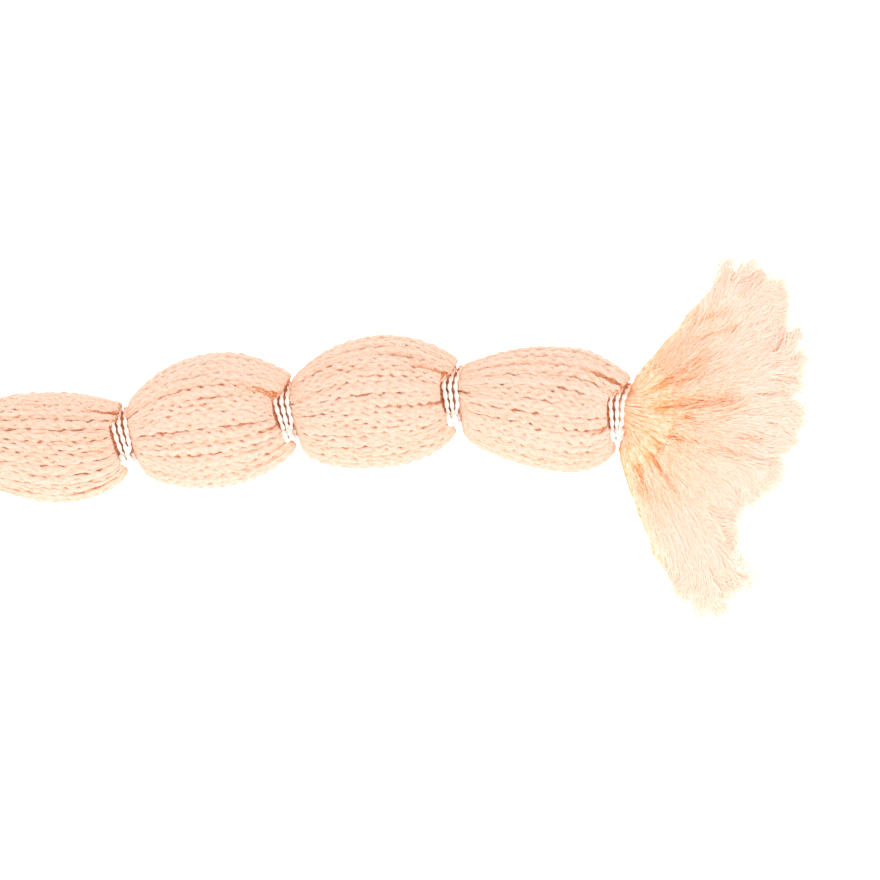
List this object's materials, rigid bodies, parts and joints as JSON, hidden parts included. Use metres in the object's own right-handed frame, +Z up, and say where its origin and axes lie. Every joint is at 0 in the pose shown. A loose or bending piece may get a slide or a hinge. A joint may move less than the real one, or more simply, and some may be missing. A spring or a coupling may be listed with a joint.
{
  "type": "yarn bobble trim",
  "caption": "Soft yarn trim lying flat: parallel yarn ends tied with thread into plump egg-shaped bobbles, with one end fanned out as a brushed tassel and the other cut short.",
  "frame": {"origin": "on the ground plane that the trim lies on, under the middle of its bounding box", "axes": "+X along the trim towards the fanned tassel, +Y across it on the ground, +Z up from the ground"},
  "size_m": [0.286, 0.1078, 0.0373],
  "materials": {
    "bobble_yarn": "soft matt two-ply yarn, peach",
    "tassel_yarn": "the same yarn brushed out, pale peach",
    "tie_thread": "matt twisted cotton thread, white"
  },
  "bodies": {
    "root": {"yarn_bundle": "bobble_yarn", "tassel_end": "tassel_yarn", "cut_end": "tassel_yarn", "tie_1": "tie_thread", "tie_2": "tie_thread", "tie_3": "tie_thread", "tie_4": "tie_thread", "tie_5": "tie_thread"}
  },
  "joints": []
}
